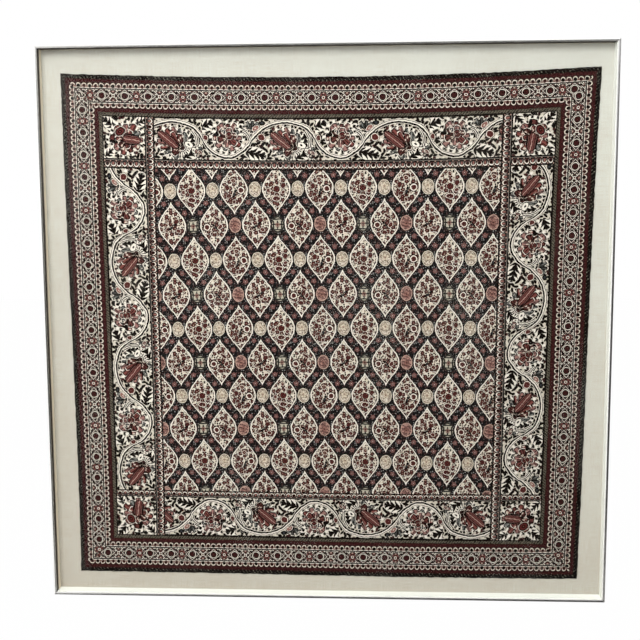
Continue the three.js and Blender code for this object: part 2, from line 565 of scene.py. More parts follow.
# what a round or oval motif holds from its middle (0) to its rim (1), where it ends clear
petalRim = ((ivory, 0.72, 0.8), (black, 0.85, 0.95), (faint(black), 1.0))
fills = {
    "ringFlower": ((ink(150, 92, 80), 0.0), (black, 0.1), (maroon, 0.18), (red, 0.44), (black, 0.52),
                   (ivory, 0.57, 0.71), (maroon, 0.76), (black, 0.88, 0.98), (faint(black), 1.0)),
    "redDisc": ((ink(150, 96, 84), 0.0), (maroon, 0.12), (black, 0.28), (red, 0.42), (maroon, 0.72),
                (black, 0.8, 0.88), (ivory, 0.91), (faint(ivory), 1.0)),
    "redPetal": ((pink, 0.0), (maroon, 0.2), (ink(96, 42, 37), 0.67), *petalRim),
    "deepPetal": ((black, 0.0), (maroon, 0.2), (ink(76, 30, 27), 0.67), (ivory, 0.72, 0.8),
                  (black, 0.85, 0.96), (faint(black), 1.0)),
    "pinkPetal": ((maroon, 0.0), (ink(112, 60, 55), 0.1), (ink(150, 104, 96), 0.36), (ink(112, 60, 55), 0.67),
                  *petalRim),
    "greyPetal": ((ivory, 0.0, 0.08), (black, 0.16), (greyBlue, 0.4), (ink(38, 40, 42), 0.67),
                  (ivory, 0.72, 0.81), (black, 0.86, 0.95), (faint(black), 1.0)),
    "greyLeaf": ((greyBlue, 0.0), (ink(40, 42, 45), 0.3), (black, 0.6, 0.95), (faint(black), 1.0)),
    "palePetal": ((greyBlue, 0.0), (black, 0.14, 0.26), (ivory, 0.34, 0.78), (black, 0.83, 0.95),
                  (faint(black), 1.0)),
    "smallRosette": ((ink(196, 168, 160), 0.0, 0.14), (ink(60, 32, 32), 0.24), (ink(84, 50, 48), 0.36),
                     (ink(134, 94, 88), 0.56), (ink(104, 68, 64), 0.78), (ink(80, 48, 46), 0.92),
                     (faint(ink(30, 20, 20)), 1.0)),
}


def strayed(place, scale, detail):
    # the place moved a little either way, as an uneven hand moves a line
    stray = cloud(place, scale, detail, "Color")
    reach = silk["wander"]
    return vectors("MULTIPLY_ADD", stray, (reach, reach, 0),
                   vectors("SUBTRACT", place, (reach / 2, reach / 2, 0)))


def startPrint(name):
    material, tree = newMaterial(name)
    made = addNode(tree, "UVMap", uv_map="blockPlace")
    return material, tree, strayed(Wire(tree, made.outputs[0]), 0.15, 2)


def dimmed(colour, amount):
    made = addNode(amount.tree, "VectorMath", operation="SCALE")
    feed(amount.tree, made.inputs[0], colour)
    feed(amount.tree, made.inputs["Scale"], amount)
    return Wire(amount.tree, made.outputs[0])


def finishPrint(tree, colour, block):
    # thread, wear, age and painted shade over the finished print; each block of it took its own strength of
    # dye
    impression = chance(block)
    place, across, up, flat = flatPlace(tree)
    age, patchy = cloud(flat, 0.010, 4), cloud(flat, 0.09, 3)
    fade = scaled(age, 0.3, -0.2) + scaled(impression, 0.4, -0.3, clamp=True) + scaled(patchy, 0.3, -0.17)
    colour = choose(maths("ADD", fade, 0.0, clamp=True), colour, dyes["worn"])
    slubs = slub(flat, (1.3, 0.05), 2) + slub(flat, (0.05, 1.3), 2)
    weave = plainWeave(across, up, silk["threadPitch"])
    paintedShade = vectors("DOT_PRODUCT", place, (-0.00017, 0, 0.00014)) + 0.875  # painted shade: darker to the right and low down
    colour = dimmed(colour, maths("MULTIPLY", scaled(slubs, 0.38, 0.31) + weave * 0.04, paintedShade))
    height = weave + scaled(slubs, 1.2, -1.2)
    principled(tree, colour, silk["rough"], bumped(height, 0.35, 0.00015), **{
        "Sheen Weight": silk["sheen"], "Sheen Roughness": 0.4, "Specular IOR Level": silk["shine"]})


def repeated(place, low, high, middle=(0, 0)):
    # the place inside one repeat that runs from low to high, seen from its middle
    found = vectors("WRAP", place, (*high, 1), (*low, -1))
    return vectors("SUBTRACT", found, (*middle, 0)) if any(middle) else found


def everyOther(value, pitch, start=0.5):
    # 0 and 1 by turns, from one repeat to the next
    return maths("FLOORED_MODULO", maths("FLOOR", scaled(value, 1 / pitch, start)), 2)


def ovalReach(place, centre, turn, halfLength, halfWidth):
    return vectors("LENGTH", turned(place, centre, turn, (halfLength, halfWidth)))


def stamp(colour, reach, fill):
    # paints a motif over the colour; its rim is at reach 1
    tint, cover = ramp(reach, fills[fill] if isinstance(fill, str) else fill)
    return choose(cover, colour, tint)


def stampAll(colour, place, motifs, elsewhere=None):
    # motifs: fill, x, y, turn, half length, half width; later ones lie over earlier ones
    for fill, x, y, turn, halfLength, halfWidth in motifs:
        reach = ovalReach(place, (x, y), turn, halfLength, halfWidth)
        colour = stamp(colour, reach if elsewhere is None else reach + elsewhere, fill)
    return colour


def bloomReach(place, centre, turn, radius, lobes, depth):
    # reach in a round flower with that many lobes
    x, y = parts(turned(place, centre, turn, (radius, radius)))
    wave = abs(maths("COSINE", maths("ARCTAN2", y, x) * (lobes / 2)))
    far = maths("SQRT", maths("MULTIPLY_ADD", x, x, y * y))
    return maths("DIVIDE", far, scaled(wave, depth, 1 - depth))


# the lattice of the field: ogee diamonds in half-drop rows with oval medallions between
field = {
    "across": 77.5, "down": 64.0, "halfWidth": 25.5, "halfHeight": 44.5, "outline": 2.2,
    "medallion": (12.0, 15.2), "rosette": 5.4, "rosettes": ((13.2, 23.0), (24.5, 40.3)),
    "flowerPitch": 9.0, "dotPitch": 4.3, "dot": 1.55,
    "pepperPitch": 3.1, "speckPitch": 3.4, "mottlePitch": 2.7,
    # the larger flowers of the four kinds of diamond, by row and by column
    "kinds": {
        (0, 1): (("redDisc", 0.5, 0, 0, 7.0, 7.0), ("deepPetal", 0, -17, 0, 9.5, 6.0),
                 ("redDisc", -9.0, 9, 40, 7.0, 4.6), ("redPetal", -14.5, -3, 90, 5.5, 4.4),
                 ("redDisc", 12.5, 6, 60, 5.6, 4.8), ("redPetal", 12.0, -6, 30, 5.0, 4.0),
                 ("redPetal", 0, 22, 90, 5.5, 4.0)),
        (0, 0): (("ringFlower", 13.3, -1.0, 0, 8.4, 8.4), ("redDisc", -12, 4, 70, 6, 5.0),
                 ("redDisc", -9.0, -11, 20, 5.0, 3.8), ("greyLeaf", 1.5, -7, 75, 8, 2.8),
                 ("redPetal", 0, 16, 0, 6, 5.0), ("deepPetal", 0, -22, 90, 5, 3.4)),
        (1, 0): (("redDisc", 8, 8.5, 30, 6.2, 4.8), ("deepPetal", -8, -6, 35, 8.5, 4.0),
                 ("redPetal", 11, -9, -20, 6.0, 4.4), ("greyLeaf", 1, -1.0, 38, 11, 2.2),
                 ("deepPetal", -10, 9, 60, 5.0, 3.4)),
        (1, 1): (("ringFlower", -13.3, -3, 0, 8.0, 8.0), ("deepPetal", 6, 12, -38, 10, 3.6),
                 ("redPetal", 11, -3, 50, 7.2, 4.6), ("greyLeaf", 1, -3, -50, 8, 2.4),
                 ("redDisc", 0, -17, 0, 5.0, 4.2)),
    },
}


def diamondGap(local):
    # distance out from the nearest side of a diamond
    x, y = parts(vectors("ABSOLUTE", local))
    tall, reach = field["down"], field["halfHeight"]
    points = [(step / tall, math.cos(math.pi * step / 2 / reach) ** 1.4) for step in range(0, 44, 4)]
    width = curve(y * (1 / tall), points + [(reach / tall, 0.0), (1.0, -0.45)])
    return scaled(width, -field["halfWidth"], x)


def paintDiamond(local, second, odd):
    # rosettes and dots strewn over ivory, alike in every repeat, then the larger flowers of each kind
    strewn = vectors("MULTIPLY_ADD", joined(second, odd), (211.7, 137.3, 0), local)
    tiny = cells(strewn, 1 / field["dotPitch"], 0.75)
    tinyLuck, _ = parts(tiny["Color"])
    dots = inside(tiny["Distance"] * field["dotPitch"], field["dot"], 0.4) * inside(tinyLuck, 0.94, 0.02)
    ground = choose(cloud(strewn, 0.2, 2), ivory, ink(190, 178, 156))
    colour = choose(dots, ground, painted(black, tinyLuck, 0.5, maroon, 0.02))
    pitch = field["flowerPitch"]
    found = cells(strewn, 1 / pitch, 0.7)
    x, y = parts(vectors("SUBTRACT", strewn, found["Position"]))
    luckOne, luckTwo = parts(found["Color"])
    petals = maths("COSINE", scaled(maths("ARCTAN2", y, x), 5, luckTwo * 6))
    bloom, cover = ramp(scaled(found["Distance"], pitch, petals * -0.5) * 0.19, (
        (ink(172, 128, 116), 0.0, 0.1), (black, 0.18), (maroon, 0.32), (red, 0.52), (black, 0.6, 0.76),
        (ivory, 0.84, 0.9), (faint(ivory), 0.96)))
    colour = choose(cover * inside(luckOne, 0.82, 0.02), colour, bloom)
    for (row, column), motifs in field["kinds"].items():
        colour = stampAll(colour, local, motifs, (abs(second - row) + abs(odd - column)) * 9)
    pepper = cells(strewn, 1 / field["pepperPitch"], 0.8)
    pepperLuck, _ = parts(pepper["Color"])
    grains = inside(pepper["Distance"] * field["pepperPitch"], 0.7, 0.5) * inside(pepperLuck, 0.3, 0.02)
    return choose(grains, colour, ink(196, 176, 156))


def paintBand(place, fromMedallion):
    # dark bands with dusty rosettes and pale specks
    pale = cells(place, 1 / field["speckPitch"], 0.8)
    palePick, _ = parts(pale["Color"])
    specks, _ = ramp(palePick, ((ink(158, 156, 154), 0.0, 0.26), (ink(104, 74, 70), 0.3),
                                (ink(84, 56, 54), 0.6), (ink(44, 43, 46), 0.64), (ink(34, 32, 34), 1.0)))
    band = painted(charcoal, pale["Distance"] * field["speckPitch"], 0.85, specks)
    folded = vectors("ABSOLUTE", fromMedallion)
    for spot in field["rosettes"]:
        band = stamp(band, bloomReach(folded, spot, 20, field["rosette"], 5, 0.3), "smallRosette")
    return band


def paintMedallions(colour, place, paleSeen, otherSeen):
    # pale ones on one row, pink and grey ones by turns on the next
    pitch = field["mottlePitch"]
    grain = cells(place, 1 / pitch, 0.9)
    grainPick, _ = parts(grain["Color"])
    mottle, _ = ramp(grainPick, ((ink(146, 130, 114), 0.0, 0.26), (ink(220, 209, 194), 0.3, 0.62),
                                 (ink(96, 82, 68), 0.66, 1.0)))
    face = painted(ink(198, 183, 168), grain["Distance"] * pitch, 1.1, mottle)
    face = stamp(face, bloomReach(paleSeen, (0, 2), 90, 9.5, 5, 0.45), (
        (faint(ink(96, 82, 62), 0.8), 0.0), (faint(ink(134, 92, 78), 0.7), 0.2),
        (faint(ink(206, 192, 166), 0.5), 0.36), (faint(ink(206, 192, 166), 0.4), 0.66),
        (faint(ink(104, 86, 70), 0.8), 0.8), (faint(ink(104, 86, 70), 0.6), 0.92),
        (faint(ink(170, 156, 132)), 1.0)))
    reach = ovalReach(paleSeen, (0, 0), 0, *field["medallion"])
    face = stamp(face, reach, ((faint(ink(110, 90, 76)), 0.0, 0.74), (ink(110, 90, 76), 0.78, 0.81),
                               (ink(214, 204, 186), 0.84, 0.9), (black, 0.93, 1.0)))
    colour = painted(colour, reach, 0.99, face, 0.04)

    x, y = parts(otherSeen)
    along, _ = parts(place)
    isPink = everyOther(along, field["across"], 1.5)
    streaks = abs(wrapped(scaled(x, 0.3, y) + scaled(grainPick, 3.0, -1.5), 3.3))
    rosy = choose(scaled(grainPick, 3, -1.2, clamp=True), ink(112, 80, 74), ink(168, 130, 119))
    pinkFace = choose(inside(streaks, 1.0) * 0.85, rosy, ink(66, 38, 35))
    upright = inside(abs(wrapped(x, 3.6)), 1.2) * inside(abs(y + 1.0), 8.0)
    level = inside(abs(wrapped(y, 4.8)), 1.2)
    greyFace = choose(most(upright, level), ink(182, 174, 158), ink(18, 17, 16))
    face = stamp(choose(isPink, greyFace, pinkFace), bloomReach(otherSeen, (0, -1), 0, 5.5, 6, 0.4), (
        (faint(black, 0.9), 0.0), (faint(maroon, 0.8), 0.2), (faint(ink(150, 106, 94), 0.7), 0.6),
        (faint(maroon, 0.6), 0.9), (faint(maroon), 1.0)))
    reach = ovalReach(otherSeen, (0, 0), 0, *field["medallion"])
    rim, cover = ramp(reach, ((faint(ivory), 0.0, 0.78), (ink(190, 160, 146), 0.83),
                              (ink(150, 116, 104), 0.89), (black, 0.93, 1.0)))
    face = choose(cover, face, choose(isPink, ink(46, 42, 38), rim))
    return painted(colour, reach, 0.99, face, 0.04)


def fieldMaterial():
    material, tree, place = startPrint("printedField")
    across, down = field["across"], field["down"]
    rowOne = repeated(place, (-across / 2, -down), (across / 2, down))
    rowTwo = repeated(place, (0, 0), (across, 2 * down), (across / 2, down))
    gapOne, gapTwo = diamondGap(rowOne), diamondGap(rowTwo)
    second = maths("LESS_THAN", gapTwo, gapOne)
    gap = least(gapOne, gapTwo)
    p, q = parts(place)
    odd = maths("FLOORED_MODULO", maths("FLOOR", scaled(p, 1 / across, scaled(second, -0.5, 0.5))), 2)
    inner = paintDiamond(choose(second, rowOne, rowTwo, "VECTOR"), second, odd)
    diamond = painted(ivory, gap, -field["outline"], black)
    diamond = painted(diamond, gap, -field["outline"] - 0.7, inner, 0.5)
    paleSeen = repeated(place, (0, -down), (across, down), (across / 2, 0))
    otherSeen = repeated(place, (-across / 2, 0), (across / 2, 2 * down), (0, down))
    colour = painted(paintBand(rowOne, paleSeen), gap, 0, diamond)
    colour = paintMedallions(colour, place, paleSeen, otherSeen)
    finishPrint(tree, colour, joined(maths("FLOOR", scaled(p, 0.5 / across, 0.25)),
                                     maths("FLOOR", scaled(q, 0.5 / down, 0.3))))
    return material


# the outer border: rope edge, maroon lines, two rows of beads, and rosettes in a diamond lattice
outerBorder = {
    "pitch": 41.4, "bead": 10.35, "middle": 37.6, "width": 76.0, "lineMiddle": 38.2,
    # dye, then the depths from the raw edge between which it lies
    "stripes": ((black, 0.0, 8.4), (maroon, 9.0, 14.4), (dusk, 14.7, 23.0), (ivory, 23.2, 24.2),
                (black, 24.4, 26.6), (ivory, 26.8, 27.4, 47.8, 48.4), (black, 48.6, 50.8),
                (ivory, 51.0, 52.0), (dusk, 52.2, 60.6), (maroon, 61.0, 66.8), (black, 67.4),
                (ink(100, 93, 80), 68.2, 72.8), (black, 73.1, 76.0)),
}


def paintLines(place, along, depth):
    # uneven dye in the plain lines, a twisted rope at the raw edge and a fine one inside
    colour, _ = ramp(depth * (1 / outerBorder["width"]), [
        (dye, *(at / outerBorder["width"] for at in ends)) for dye, *ends in outerBorder["stripes"]])
    grit = cloud(place, 0.42, 3)
    plain = inside(abs(abs(depth - outerBorder["lineMiddle"]) - 26.6), 3.6, 0.6)
    colour = choose(plain * scaled(grit, 5, -2.4, clamp=True), colour, ink(24, 14, 14))
    colour = choose(plain * scaled(grit, -5, 2.0, clamp=True), colour, ink(104, 64, 58))
    twist = abs(wrapped(scaled(depth, -0.7, along) + scaled(grit, 9, -4.5), 3.4))
    rope = inside(twist, 0.8, 0.8) * inside(abs(depth - 4.6), 3.9, 0.8)
    colour = choose(rope * scaled(grit, 6, -3.0, clamp=True), colour, ink(150, 147, 132))
    twist = abs(wrapped(scaled(depth, 0.9, along) + scaled(grit, 6, -3), 2.6))
    rope = inside(twist, 1.2, 0.8) * inside(abs(depth - 70.6), 2.4, 0.6)
    return choose(rope, colour, ink(26, 23, 21))


def paintBeads(colour, along, depth):
    # beads on both sides of the middle band: a pale arch with a dark kernel, open towards the band
    bead = outerBorder["bead"]
    odd = everyOther(along, bead)
    arch = joined(wrapped(along, bead / 2), abs(depth - outerBorder["middle"]))
    between = vectors("DISTANCE", vectors("ABSOLUTE", arch), (bead / 2, 16.2, 0))
    colour = painted(colour, between, 1.2, ink(140, 96, 90), 0.5)
    colour = painted(colour, vectors("DISTANCE", arch, (0, 18.1, 0)), 4.1, ink(218, 207, 193), 0.5)
    colour = painted(colour, vectors("DISTANCE", arch, (0, 17.0, 0)), 3.4,
                     choose(odd, ink(30, 18, 18), ink(96, 58, 53)), 0.5)
    return painted(colour, ovalReach(arch, (0, 17.4), 90, 3.0, 2.1), 1.0,
                   choose(odd, black, ink(40, 18, 17)), 0.2)


def paintRosettes(local, along):
    # dark rosettes in pale lozenges, joined by crossing lines over mottled ground
    step = outerBorder["pitch"]
    folded = vectors("ABSOLUTE", local)
    x, y = parts(folded)
    ground = cells(folded, 1 / 3.3, 0.6)
    groundPick, _ = parts(ground["Color"])
    spots, _ = ramp(groundPick, ((ink(190, 158, 146), 0.0, 0.3), (red, 0.33, 0.62), (ivory, 0.65, 0.85),
                                 (black, 0.88, 1.0)))
    band = painted(ink(30, 18, 17), ground["Distance"] * 3.3, 1.15, spots, 0.5)
    fromCross = vectors("SUBTRACT", folded, (step / 2, 0, 0))
    crossFar, heartFar = vectors("LENGTH", fromCross), vectors("LENGTH", local)
    odd = everyOther(along, step, 0)
    cross = abs(scaled(y, -0.95, abs(x - step / 2)))
    for reach, dye in ((1.7, black), (0.7, ivory)):
        band = painted(band, cross, reach, dye, 0.5)
    quarter = vectors("DISTANCE", vectors("ABSOLUTE", fromCross), (3.9, 3.9, 0))
    for reach, dye in ((2.7, black), (1.9, ink(112, 62, 58))):
        band = choose(inside(quarter, reach) * odd, band, dye)
    for reach, dye in ((2.7, ivory), (1.7, choose(odd, maroon, red))):
        band = painted(band, crossFar, reach, dye)
    lozenge = scaled(x, 0.82, y)
    for reach, dye in ((12.6, black), (11.2, ivory), (10.2, ink(34, 20, 19))):
        band = painted(band, lozenge, reach, dye, 0.4)
    spokes = inside(abs(scaled(x, -0.8, y)), 0.6, 0.4) * inside(lozenge, 11.0, 0.4)
    band = choose(spokes, band, ivory)
    for reach, dye in ((8.0, black), (7.2, ivory), (6.15, black)):
        band = painted(band, heartFar, reach, dye, 0.4)
    return stamp(band, bloomReach(local, (0, 0), 45, 5.6, 4, 0.25), (
        (red, 0.0, 0.16), (black, 0.22, 0.4), (maroon, 0.5, 0.86), (black, 0.92), (faint(black), 1.0)))


def rosetteMaterial():
    material, tree, place = startPrint("printedOuterBorder")
    along, depth = parts(place)
    step = outerBorder["pitch"]
    colour = paintBeads(paintLines(place, along, depth), along, depth)
    local = repeated(place, (-step / 2, 0), (step / 2, 80), (0, outerBorder["middle"]))
    _, fromMiddle = parts(vectors("ABSOLUTE", local))
    colour = painted(colour, fromMiddle, 10.9, paintRosettes(local, along), 0.4)
    finishPrint(tree, colour, joined(maths("FLOOR", scaled(along, 1 / (5 * step), 0.3)), 0.0))
    return material


# the narrow strip of buds between the wide borders and the field
guard = {"pitch": 10.5, "middle": 9.3, "ground": ink(24, 15, 15)}


def guardMaterial():
    material, tree, place = startPrint("printedGuardStrip")
    along, depth = parts(place)
    step, middle = guard["pitch"], guard["middle"]
    local = repeated(place, (-step / 2, 0), (step / 2, 20), (0, middle))
    odd = everyOther(along, step)
    colour = painted(ivory, abs(depth - middle), 6.4, guard["ground"], 0.5)
    colour = painted(colour, vectors("DISTANCE", local, (0, 0.6, 0)), 4.3, ivory, 0.5)
    colour = painted(colour, vectors("DISTANCE", local, (0, -0.4, 0)), 3.6,
                     choose(odd, ink(72, 35, 33), ink(36, 19, 18)), 0.5)
    colour = painted(colour, ovalReach(local, (0, -0.2), 90, 2.8, 1.7), 1.0,
                     choose(odd, black, ink(140, 92, 84)), 0.2)
    between = vectors("DISTANCE", vectors("ABSOLUTE", local), (step / 2, 4.8, 0))
    colour = painted(colour, between, 1.2, ink(160, 130, 118), 0.5)
    for edge, reach in ((1.2, 1.5), (16.9, 1.4)):
        colour = painted(colour, abs(depth - edge), reach, black, 0.4)
    finishPrint(tree, colour, joined(maths("FLOOR", scaled(along, 1 / (15 * step), 0.2)), 0.0))
    return material


# a petal's own dye and the paler dye of the fine lines along it
petalDyes = {
    "red": (ink(76, 30, 27), ink(128, 72, 66)), "deep": (ink(44, 20, 19), ink(100, 54, 49)),
    "pink": (ink(104, 58, 54), ink(158, 118, 112)), "grey": (ink(26, 28, 30), ink(128, 128, 124)),
    "dark": (ink(14, 13, 12), ink(80, 78, 76)),
}


def polar(place, centre):
    # the angle round centre, from -pi to pi, and the distance from it
    x, y = parts(vectors("SUBTRACT", place, (*centre, 0)))
    return maths("ARCTAN2", y, x), maths("SQRT", maths("MULTIPLY_ADD", x, x, y * y))


def petalRing(share, far, cleft, petals):
    # one ring of petals round a heart: how far a place is outside it, and its colour, dark between the petals
    # and light along each one
    petals = sorted(((direction + 180) % 360 / 360, length, dye) for direction, length, dye in petals)
    longest = max(petal[1] for petal in petals) * 1.1
    points, tints = [], []
    for index, (tip, length, dye) in enumerate(petals):
        tipBefore, lengthBefore, _ = petals[index - 1]
        start = (tipBefore - (index == 0) + tip) / 2
        spread = abs((tip - start + 0.5) % 1 - 0.5) * 0.42
        high = length * 0.96 / longest
        points += [(start % 1, min(lengthBefore, length) * cleft / longest), ((tip - spread) % 1, high),
                   ((tip + spread) % 1, high)]
        dark, light = petalDyes[dye]
        tints += [(start % 1, black), ((start + 0.014) % 1, dark), (tip % 1, light)]
    # the round closes on itself, so both ends carry on from the other
    points = sorted(points)
    (first, firstHigh), (last, lastHigh) = points[0], points[-1]
    end = lastHigh + (firstHigh - lastHigh) * (1 - last) / (first + 1 - last)
    edge = curve(share, [(0.0, end), *points, (1.0, end)])
    tint, _ = ramp(share, [(tint, at) for at, tint in sorted(tints)])
    return scaled(edge, -longest, far), tint


def paintBloom(colour, place, bloom):
    # rings of petals with ivory and black outlines, a comb of dark strokes outside, and single petals on top
    angle, far = polar(place, bloom["centre"])
    share = scaled(angle, 0.5 / math.pi, 0.5)
    spacing = math.pi / bloom["streaks"]
    strokes = abs(wrapped(angle, spacing))
    vein = inside(maths("MULTIPLY", strokes, far), 0.75, 0.7)
    outer = None
    for cleft, petals in bloom["rings"]:
        out, tint = petalRing(share, far, cleft, petals)
        if outer is None:
            outer = out
            comb = inside(scaled(out, spacing * 0.05, strokes), spacing * 0.72, spacing * 0.4)
            colour = painted(colour, out, bloom["comb"], choose(comb, ivory, black), 0.8)
        for reach, dye in ((1.8, ivory), (0.7, black), (-1.1, tint)):
            colour = painted(colour, out, reach, dye)
        colour = choose(vein * inside(out, -1.4, 0.8), colour, black)
    colour = stampAll(colour, place, bloom["over"])
    # short brush strokes running outward over the petals
    brushed = cells(joined(angle * (bloom["streaks"] / 5.5), far * 0.14), 1.0, 0.9)
    pick, _ = parts(brushed["Color"])
    stroke, cover = ramp(pick, ((black, 0.0, 0.2), (ink(205, 190, 176), 0.22, 0.4), (faint(pink), 0.42, 1.0)))
    within = inside(outer, -1.5, 1.0) * inside(brushed["Distance"], 0.34, 0.12)
    return choose(within * cover, colour, stroke)


def paintLeafGround(place, pitch):
    # ivory ground strewn with small black leaves and a few red buds
    found = cells(place, 1 / pitch, 0.8)
    luckOne, luckTwo = parts(found["Color"])
    spin = addNode(place.tree, "VectorRotate", rotation_type="Z_AXIS")
    feed(place.tree, spin.inputs["Vector"], vectors("SUBTRACT", place, found["Position"]))
    feed(place.tree, spin.inputs["Angle"], luckTwo * 6.3)
    x, y = parts(Wire(place.tree, spin.outputs[0]))
    blade = inside(maths("MULTIPLY_ADD", x, x * 0.035, abs(y) * 0.38), 1.0, 0.3)
    ground = choose(cloud(place, 0.22, 2), ink(232, 223, 208), ink(164, 154, 139))
    return choose(blade * inside(luckOne, 0.93, 0.02), ground, painted(black, luckOne, 0.14, maroon, 0.02))


def leafReach(place, turn, halfLength, spots):
    # least distance to any of many like leaves; a spot is x, y and its own half length
    slim = 0.42
    seen = turned(place, (0, 0), turn, (1, slim))
    back = Matrix.Rotation(-math.radians(turn), 2)
    found = None
    for x, y, own in spots:
        middle = back @ Vector((x, y))
        rise = math.sqrt(max(halfLength ** 2 - own ** 2, 0))
        near = vectors("DISTANCE", seen, (middle.x, middle.y / slim, rise))
        found = near if found is None else least(found, near)
    return inside(found, halfLength, 0.7)


def sprigMask(place, centre, turn, halfLength, halfWidth, pitch):
    # a branch with thick leaves slanting off both sides, inside an oval outline; centre is its middle
    x, y = parts(turned(place, centre, turn))
    side = abs(y)
    leaf = abs(wrapped(scaled(side, -0.95, x), pitch / 2))
    blades = inside(scaled(side, 0.5 * pitch / halfWidth, leaf), pitch * 0.58, 0.8)
    return blades * inside(ovalReach(place, centre, turn, halfLength, halfWidth * 1.1), 1.0, 0.1)


def paintGreens(place, rough, plan):
    # the strewn ground, the placed leaves, and sprigs that each lie on bare ivory
    longest, usual = plan["leafHalf"]
    leaves = most(*[leafReach(place, turn, longest, [(*spot, usual)[:3] for spot in spots])
                    for turn, spots in plan["leaves"].items()])
    colour = choose(leaves, paintLeafGround(place, plan["leafPitch"]), black)
    for x, y, turn, halfLength, halfWidth, pitch in plan["sprigs"]:
        bare = ovalReach(place, (x, y), turn, halfLength + 1.5, halfWidth + 1.5)
        colour = painted(colour, bare, 1, ivory, 0.1)
        colour = choose(sprigMask(rough, (x, y), turn, halfLength, halfWidth, pitch), colour, black)
    return colour


def paintStripedPetal(colour, place, petal):
    # a long petal, dusty red with one pale line along it
    x, y, turn, halfLength, halfWidth = petal
    seen = turned(place, (x, y), turn, (halfLength, halfWidth))
    across = abs(vectors("DOT_PRODUCT", seen, (0, halfWidth, 0)))
    reach = vectors("LENGTH", vectors("MULTIPLY", seen, (1, 0.85, 0)))
    tint, _ = ramp(across * 0.125, (
        (ink(176, 140, 130), 0.0, 0.06), (maroon, 0.13), (ink(84, 37, 34), 0.24), (ink(116, 70, 64), 0.44),
        (maroon, 0.58), (black, 0.68), (ink(108, 74, 68), 0.74, 0.84), (black, 0.92)))
    colour = painted(colour, reach, 1.0, black, 0.08)
    return painted(colour, reach, 0.9, tint, 0.08)


# the vine of the wide border: s runs along it from a trough of the stem, t from its outer edge inward
vine = {
    "period": 200.0, "seam": -46.0, "leafPitch": 7.3,
    # two tendrils: centre and radius of each arc, then the middle and half size of the box that it shows in
    "tendrils": (((20, 40), 18, (30, 0), (14, 42)), ((112, 44), 33, (145, 37), (12, 15))),
    # the middle of the stem
    "stem": ((-46, 36), (-38, 50), (-28, 60), (-18, 66), (2, 70), (22, 61), (36, 48), (44, 35), (54, 25),
             (64, 16.6), (82, 8.8), (102, 6), (122, 9.7), (136, 15), (146, 24), (154, 36)),
    # rings: how deep the petals are cleft, then for each petal its direction in degrees, length and dye
    "blooms": (
        {"centre": (0, 33), "streaks": 17, "comb": 6.4, "rings": (
            (0.8, ((-122, 28, "pink"), (-90, 24, "deep"), (-62, 28, "pink"), (-25, 22, "grey"),
                   (5, 25, "pink"), (38, 28, "red"), (72, 28, "pink"), (104, 27, "grey"),
                   (138, 29, "pink"), (176, 28, "red"))),
            (0.74, ((-135, 19, "red"), (-80, 16, "pink"), (-10, 15, "red"), (45, 20, "red"),
                    (95, 20, "pink"), (160, 20, "deep")))),
         "over": (("greyPetal", -8, 24, 60, 6, 5), ("redDisc", 2, 31, 70, 8, 7))},
        {"centre": (116, 52), "streaks": 23, "comb": 6.4, "rings": (
            (0.84, ((-75, 28, "grey"), (-93, 34, "grey"), (-111, 40, "pink"), (-130, 42, "red"),
                    (-150, 43, "deep"), (-166, 45, "pink"), (176, 38, "red"), (158, 33, "grey"),
                    (135, 26, "grey"), (30, 10, "deep"))),
            (0.8, ((-100, 24, "deep"), (-122, 31, "red"), (-145, 34, "deep"), (-170, 32, "red"),
                   (160, 21, "deep"), (20, 7, "red")))),
         "over": ()},
        {"centre": (42, 22), "streaks": 16, "comb": 2.4, "rings": (
            (0.75, ((-150, 17, "dark"), (-118, 19, "grey"), (-85, 18, "dark"), (-50, 19, "grey"),
                    (-20, 15, "red"), (60, 4, "dark"), (120, 4, "dark"), (180, 7, "dark"))),),
         "over": (("pinkPetal", 49, 17, 140, 9, 5),)},
        {"centre": (152, 64), "streaks": 16, "comb": 4.0, "rings": (
            (0.78, ((-150, 12, "pink"), (-100, 13, "grey"), (-45, 11, "deep"), (0, 11, "grey"),
                    (60, 9, "red"), (140, 10, "dark"))),),
         "over": (("redPetal", 150, 62, 35, 6, 4),)},
    ),
    "motifs": (
        ("redPetal", 59, 34, 40, 9, 8), ("greyLeaf", 60, 8, 0, 6, 4.5), ("redPetal", -40, 35, 60, 7, 5),
        ("palePetal", 130, 48, 30, 9, 6),
    ),
    "stripedPetal": (93, 40, 40, 24, 7.4),
    "sprigs": ((49, 64, 14, 19, 11, 9.5), (-42, 13, -20, 17, 10, 9.0), (132, 66, -28, 15, 9, 9.0),
               (137, 39, 80, 12, 8, 8.0), (26, 20, 62, 10, 7, 8.0)),
    # leaves: half lengths of the longest and of the usual one, then for each turn their places
    "leafHalf": (9.0, 6.0),
    "leaves": {
        5: ((48, 46), (66, 70, 8), (124, 40), (134, 8), (28, 69), (-36, 24)),
        50: ((110, 66, 8), (67, 57), (24, 10), (86, 72), (-40, 62), (14, 70), (140, 56), (-30, 34)),
        -45: ((62, 46), (72, 66), (126, 58), (20, 16), (102, 70), (-33, 41), (146, 44), (140, 28)),
        95: ((58, 56), (146, 34), (-43, 50), (72, 13), (88, 6), (34, 34)),
    },
}


def paintStem(along, depth):
    # how far a place lies to one side of the waving stem; steep stretches count less, so that its width stays
    period, seam = vine["period"], vine["seam"]
    bend = [((s - seam) / period, t / 80) for s, t in vine["stem"]]
    line = curve(scaled(along, 1 / period, -seam / period), bend)
    rise = curve(scaled(along, 1 / period, (2 - seam) / period), bend) - line
    steep = maths("MULTIPLY", rise * 40, rise * 40, clamp=True)
    return scaled(line, -80, depth) * scaled(steep, -0.34, 1.0)


